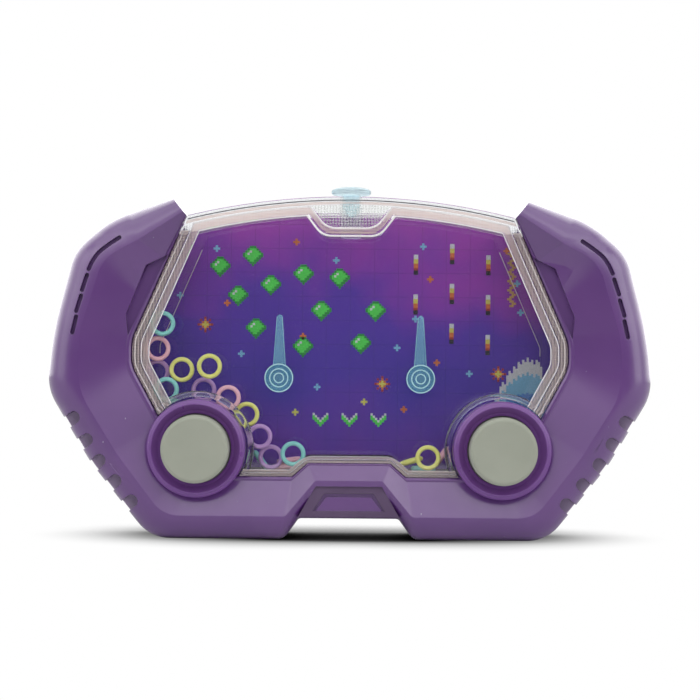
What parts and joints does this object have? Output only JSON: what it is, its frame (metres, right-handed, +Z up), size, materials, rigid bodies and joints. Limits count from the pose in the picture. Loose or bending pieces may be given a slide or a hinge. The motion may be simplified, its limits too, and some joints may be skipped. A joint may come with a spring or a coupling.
{
  "type": "handheld water game",
  "caption": "Handheld water game: clear tank with pegs and loose rings in a two-shell housing, pumped by two thumb buttons.",
  "frame": {"origin": "centre of the overall box on the surface that the game stands on", "axes": "+Z up, -Y towards the player, +X to the player's right along the width"},
  "size_m": [0.1626, 0.0306, 0.0955],
  "materials": {
    "purple_plastic": "satin moulded, finely textured",
    "clear_plastic": "clear, polished",
    "printed_card": "printed, satin",
    "button_rubber": "matte, soft",
    "bulb_rubber": "matte",
    "white_plastic": "matte",
    "peg_plastic": "clear light blue, polished",
    "stopper_rubber": "satin, translucent",
    "screw_steel": "zinc plated",
    "ring_cyan": "satin",
    "ring_pink": "satin",
    "ring_lilac": "satin",
    "ring_yellow": "satin"
  },
  "bodies": {
    "case": {"front_housing": "purple_plastic", "rear_housing": "purple_plastic", "tank_front": "clear_plastic", "tank_back": "clear_plastic", "background_card": "printed_card", "pump_bulb_left": "bulb_rubber", "pump_bulb_right": "bulb_rubber", "bulb_clamp_left": "white_plastic", "bulb_clamp_right": "white_plastic", "jet_nozzle_left": "white_plastic", "jet_nozzle_right": "white_plastic", "peg_left": "peg_plastic", "peg_right": "peg_plastic", "screw_1": "screw_steel", "screw_2": "screw_steel", "screw_3": "screw_steel", "screw_4": "screw_steel", "screw_5": "screw_steel", "screw_6": "screw_steel"},
    "left_button": {"button_left": "button_rubber"},
    "right_button": {"button_right": "button_rubber"},
    "stopper": {"filler_stopper": "stopper_rubber"},
    "ring_01_loose": {"ring_01": "ring_cyan"},
    "ring_02_loose": {"ring_02": "ring_pink"},
    "ring_03_loose": {"ring_03": "ring_lilac"},
    "ring_04_loose": {"ring_04": "ring_cyan"},
    "ring_05_loose": {"ring_05": "ring_yellow"},
    "ring_06_loose": {"ring_06": "ring_yellow"},
    "ring_07_loose": {"ring_07": "ring_lilac"},
    "ring_08_loose": {"ring_08": "ring_pink"},
    "ring_09_loose": {"ring_09": "ring_yellow"},
    "ring_10_loose": {"ring_10": "ring_lilac"},
    "ring_11_loose": {"ring_11": "ring_lilac"},
    "ring_12_loose": {"ring_12": "ring_cyan"},
    "ring_13_loose": {"ring_13": "ring_cyan"},
    "ring_14_loose": {"ring_14": "ring_pink"},
    "ring_15_loose": {"ring_15": "ring_pink"},
    "ring_16_loose": {"ring_16": "ring_yellow"},
    "ring_17_loose": {"ring_17": "ring_yellow"},
    "ring_18_loose": {"ring_18": "ring_cyan"},
    "ring_19_loose": {"ring_19": "ring_pink"}
  },
  "joints": [
    {"name": "left_button_press", "type": "slide", "parent": "case", "child": "left_button", "axis": [0, 1, 0], "range_m": [0, 0.0035], "stiffness_N_per_m": 600, "springref_m": -0.0015, "deforming": ["pump_bulb_left"]},
    {"name": "right_button_press", "type": "slide", "parent": "case", "child": "right_button", "axis": [0, 1, 0], "range_m": [0, 0.0035], "stiffness_N_per_m": 600, "springref_m": -0.0015, "deforming": ["pump_bulb_right"]},
    {"name": "stopper_lift", "type": "slide", "parent": "case", "child": "stopper", "axis": [0, 0, 1], "range_m": [0, 0.014]},
    {"name": "ring_01_float", "type": "slide", "parent": "case", "child": "ring_01_loose", "axis": [0.4, 0, 0.9165], "range_m": [0, 0.023]},
    {"name": "ring_02_float", "type": "slide", "parent": "case", "child": "ring_02_loose", "axis": [0.4, 0, 0.9165], "range_m": [0, 0.031]},
    {"name": "ring_03_float", "type": "slide", "parent": "case", "child": "ring_03_loose", "axis": [0.4, 0, 0.9165], "range_m": [0, 0.038]},
    {"name": "ring_04_float", "type": "slide", "parent": "case", "child": "ring_04_loose", "axis": [0.4, 0, 0.9165], "range_m": [0, 0.044]},
    {"name": "ring_05_float", "type": "slide", "parent": "case", "child": "ring_05_loose", "axis": [0.4, 0, 0.9165], "range_m": [0, 0.039]},
    {"name": "ring_06_float", "type": "slide", "parent": "case", "child": "ring_06_loose", "axis": [0.4, 0, 0.9165], "range_m": [0, 0.039]},
    {"name": "ring_07_float", "type": "slide", "parent": "case", "child": "ring_07_loose", "axis": [0.4, 0, 0.9165], "range_m": [0, 0.044]},
    {"name": "ring_08_float", "type": "slide", "parent": "case", "child": "ring_08_loose", "axis": [0.4, 0, 0.9165], "range_m": [0, 0.044]},
    {"name": "ring_09_float", "type": "slide", "parent": "case", "child": "ring_09_loose", "axis": [0.4, 0, 0.9165], "range_m": [0, 0.044]},
    {"name": "ring_10_float", "type": "slide", "parent": "case", "child": "ring_10_loose", "axis": [0.4, 0, 0.9165], "range_m": [0, 0.044]},
    {"name": "ring_11_float", "type": "slide", "parent": "case", "child": "ring_11_loose", "axis": [0.4, 0, 0.9165], "range_m": [0, 0.04]},
    {"name": "ring_12_float", "type": "slide", "parent": "case", "child": "ring_12_loose", "axis": [0.4, 0, 0.9165], "range_m": [0, 0.028]},
    {"name": "ring_13_float", "type": "slide", "parent": "case", "child": "ring_13_loose", "axis": [0.4, 0, 0.9165], "range_m": [0, 0.016]},
    {"name": "ring_14_float", "type": "slide", "parent": "case", "child": "ring_14_loose", "axis": [0.4, 0, 0.9165], "range_m": [0, 0.02]},
    {"name": "ring_15_float", "type": "slide", "parent": "case", "child": "ring_15_loose", "axis": [0.4, 0, 0.9165], "range_m": [0, 0.018]},
    {"name": "ring_16_float", "type": "slide", "parent": "case", "child": "ring_16_loose", "axis": [-0.4, 0, 0.9165], "range_m": [0, 0.022]},
    {"name": "ring_17_float", "type": "slide", "parent": "case", "child": "ring_17_loose", "axis": [-0.4, 0, 0.9165], "range_m": [0, 0.02]},
    {"name": "ring_18_float", "type": "slide", "parent": "case", "child": "ring_18_loose", "axis": [-0.4, 0, 0.9165], "range_m": [0, 0.018]},
    {"name": "ring_19_float", "type": "slide", "parent": "case", "child": "ring_19_loose", "axis": [-0.4, 0, 0.9165], "range_m": [0, 0.014]}
  ],
  "couplings": [
    {"joint": "ring_15_float", "follows": "ring_14_float", "ratio": 0.9},
    {"joint": "ring_18_float", "follows": "ring_17_float", "ratio": 0.9}
  ]
}
